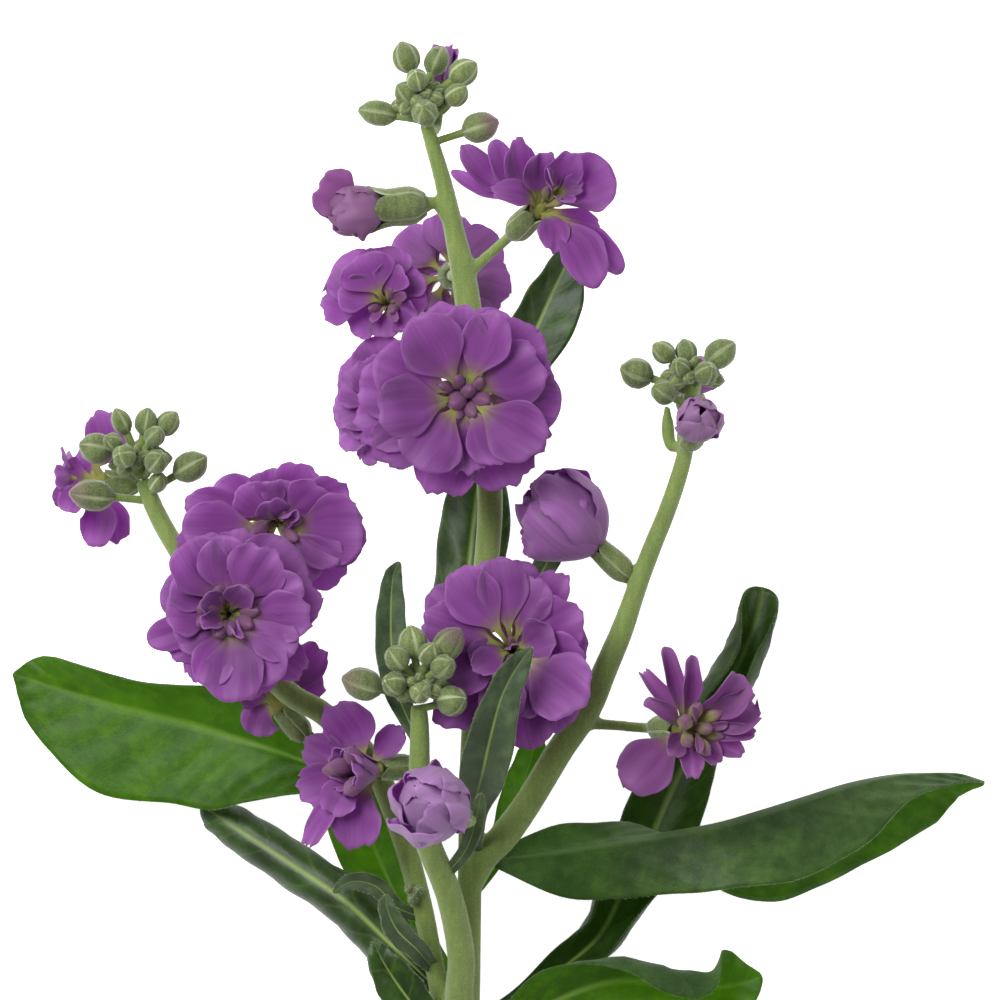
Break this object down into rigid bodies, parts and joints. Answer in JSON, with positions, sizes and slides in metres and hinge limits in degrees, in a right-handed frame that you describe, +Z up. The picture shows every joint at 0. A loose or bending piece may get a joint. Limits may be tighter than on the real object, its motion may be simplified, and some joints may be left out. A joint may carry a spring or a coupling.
{
  "type": "cut flower stem",
  "caption": "Cut stem of double stock with side shoots, ruffled purple flowers, felted bud heads and long curled leaves, lying down as for arranging.",
  "frame": {"origin": "on the surface the stem lies on, under the flat spot at its cut end", "axes": "+Y along the stem towards its flowering tip, +Z up from the surface, towards the side the flowers face, +X to the right of the stem seen from above"},
  "size_m": [0.1956, 0.2786, 0.0672],
  "materials": {
    "stem": "ribbed yellow-green with fine white hairs",
    "bloom_main_front": "purple petals with a yellow-green throat",
    "bloom_main_left": "purple petals with a yellow-green throat",
    "bloom_main_back": "purple petals with a yellow-green throat",
    "bloom_upper_right": "purple petals with a yellow-green throat",
    "bud_opening_left": "purple petals with a yellow-green throat",
    "bloom_main_side": "purple petals with a yellow-green throat",
    "bloom_half_open_right": "pale lilac petals with a yellow-green throat",
    "bloom_centre": "purple petals with a yellow-green throat",
    "bloom_left_back": "purple petals with a yellow-green throat",
    "bloom_left_front": "purple petals with a yellow-green throat",
    "bloom_left_low": "purple petals with a yellow-green throat",
    "bloom_left_tip": "purple petals with a yellow-green throat",
    "bloom_front_open": "pale lilac petals with a yellow-green throat",
    "bloom_half_open_front": "pale lilac petals with a yellow-green throat",
    "bloom_right": "pale lilac petals with a yellow-green throat",
    "bud_opening_right": "pale lilac petals with a yellow-green throat",
    "bloom_right_tip": "purple petals with a yellow-green throat",
    "bud_opening_top": "purple petals with a yellow-green throat",
    "leaf_left_large": "bright green with a pale midrib and a felted edge",
    "leaf_left_rolled": "dark green above, grey-green felt beneath, pale midrib",
    "leaf_right_folded": "dark green above, grey-green felt beneath, pale midrib",
    "leaf_right_upright": "dark green above, grey-green felt beneath, pale midrib",
    "leaf_right_low": "bright green with a pale midrib and a felted edge",
    "leaf_upper_right": "dark green above, grey-green felt beneath, pale midrib",
    "leaf_behind_main": "dark green above, grey-green felt beneath, pale midrib",
    "leaf_small_centre": "dark green above, grey-green felt beneath, pale midrib",
    "leaf_narrow_upright": "dark green above, grey-green felt beneath, pale midrib",
    "leaf_front_tall": "dark green above, grey-green felt beneath, pale midrib",
    "leaf_bright_behind": "bright green with a pale midrib and a felted edge",
    "leaf_bright_left": "bright green with a pale midrib and a felted edge",
    "leaf_axil_curved": "dark green above, grey-green felt beneath, pale midrib",
    "leaf_axil_folded": "dark green above, grey-green felt beneath, pale midrib",
    "leaf_axil_low": "dark green above, grey-green felt beneath, pale midrib",
    "leaf_small_grey": "dark green above, grey-green felt beneath, pale midrib",
    "bud_head_main": "grey-green felt with paler seams",
    "bud_head_left": "grey-green felt with paler seams",
    "bud_head_right": "grey-green felt with paler seams",
    "bud_head_front": "grey-green felt with paler seams"
  },
  "bodies": {
    "root": {"stem": "stem", "bloom_main_front": "bloom_main_front", "bloom_main_left": "bloom_main_left", "bloom_main_back": "bloom_main_back", "bloom_upper_right": "bloom_upper_right", "bud_opening_left": "bud_opening_left", "bloom_main_side": "bloom_main_side", "bloom_half_open_right": "bloom_half_open_right", "bloom_centre": "bloom_centre", "bloom_left_back": "bloom_left_back", "bloom_left_front": "bloom_left_front", "bloom_left_low": "bloom_left_low", "bloom_left_tip": "bloom_left_tip", "bloom_front_open": "bloom_front_open", "bloom_half_open_front": "bloom_half_open_front", "bloom_right": "bloom_right", "bud_opening_right": "bud_opening_right", "bloom_right_tip": "bloom_right_tip", "bud_opening_top": "bud_opening_top", "leaf_left_large": "leaf_left_large", "leaf_left_rolled": "leaf_left_rolled", "leaf_right_folded": "leaf_right_folded", "leaf_right_upright": "leaf_right_upright", "leaf_right_low": "leaf_right_low", "leaf_upper_right": "leaf_upper_right", "leaf_behind_main": "leaf_behind_main", "leaf_small_centre": "leaf_small_centre", "leaf_narrow_upright": "leaf_narrow_upright", "leaf_front_tall": "leaf_front_tall", "leaf_bright_behind": "leaf_bright_behind", "leaf_bright_left": "leaf_bright_left", "leaf_axil_curved": "leaf_axil_curved", "leaf_axil_folded": "leaf_axil_folded", "leaf_axil_low": "leaf_axil_low", "leaf_small_grey": "leaf_small_grey", "bud_head_main": "bud_head_main", "bud_head_left": "bud_head_left", "bud_head_right": "bud_head_right", "bud_head_front": "bud_head_front"}
  },
  "joints": []
}
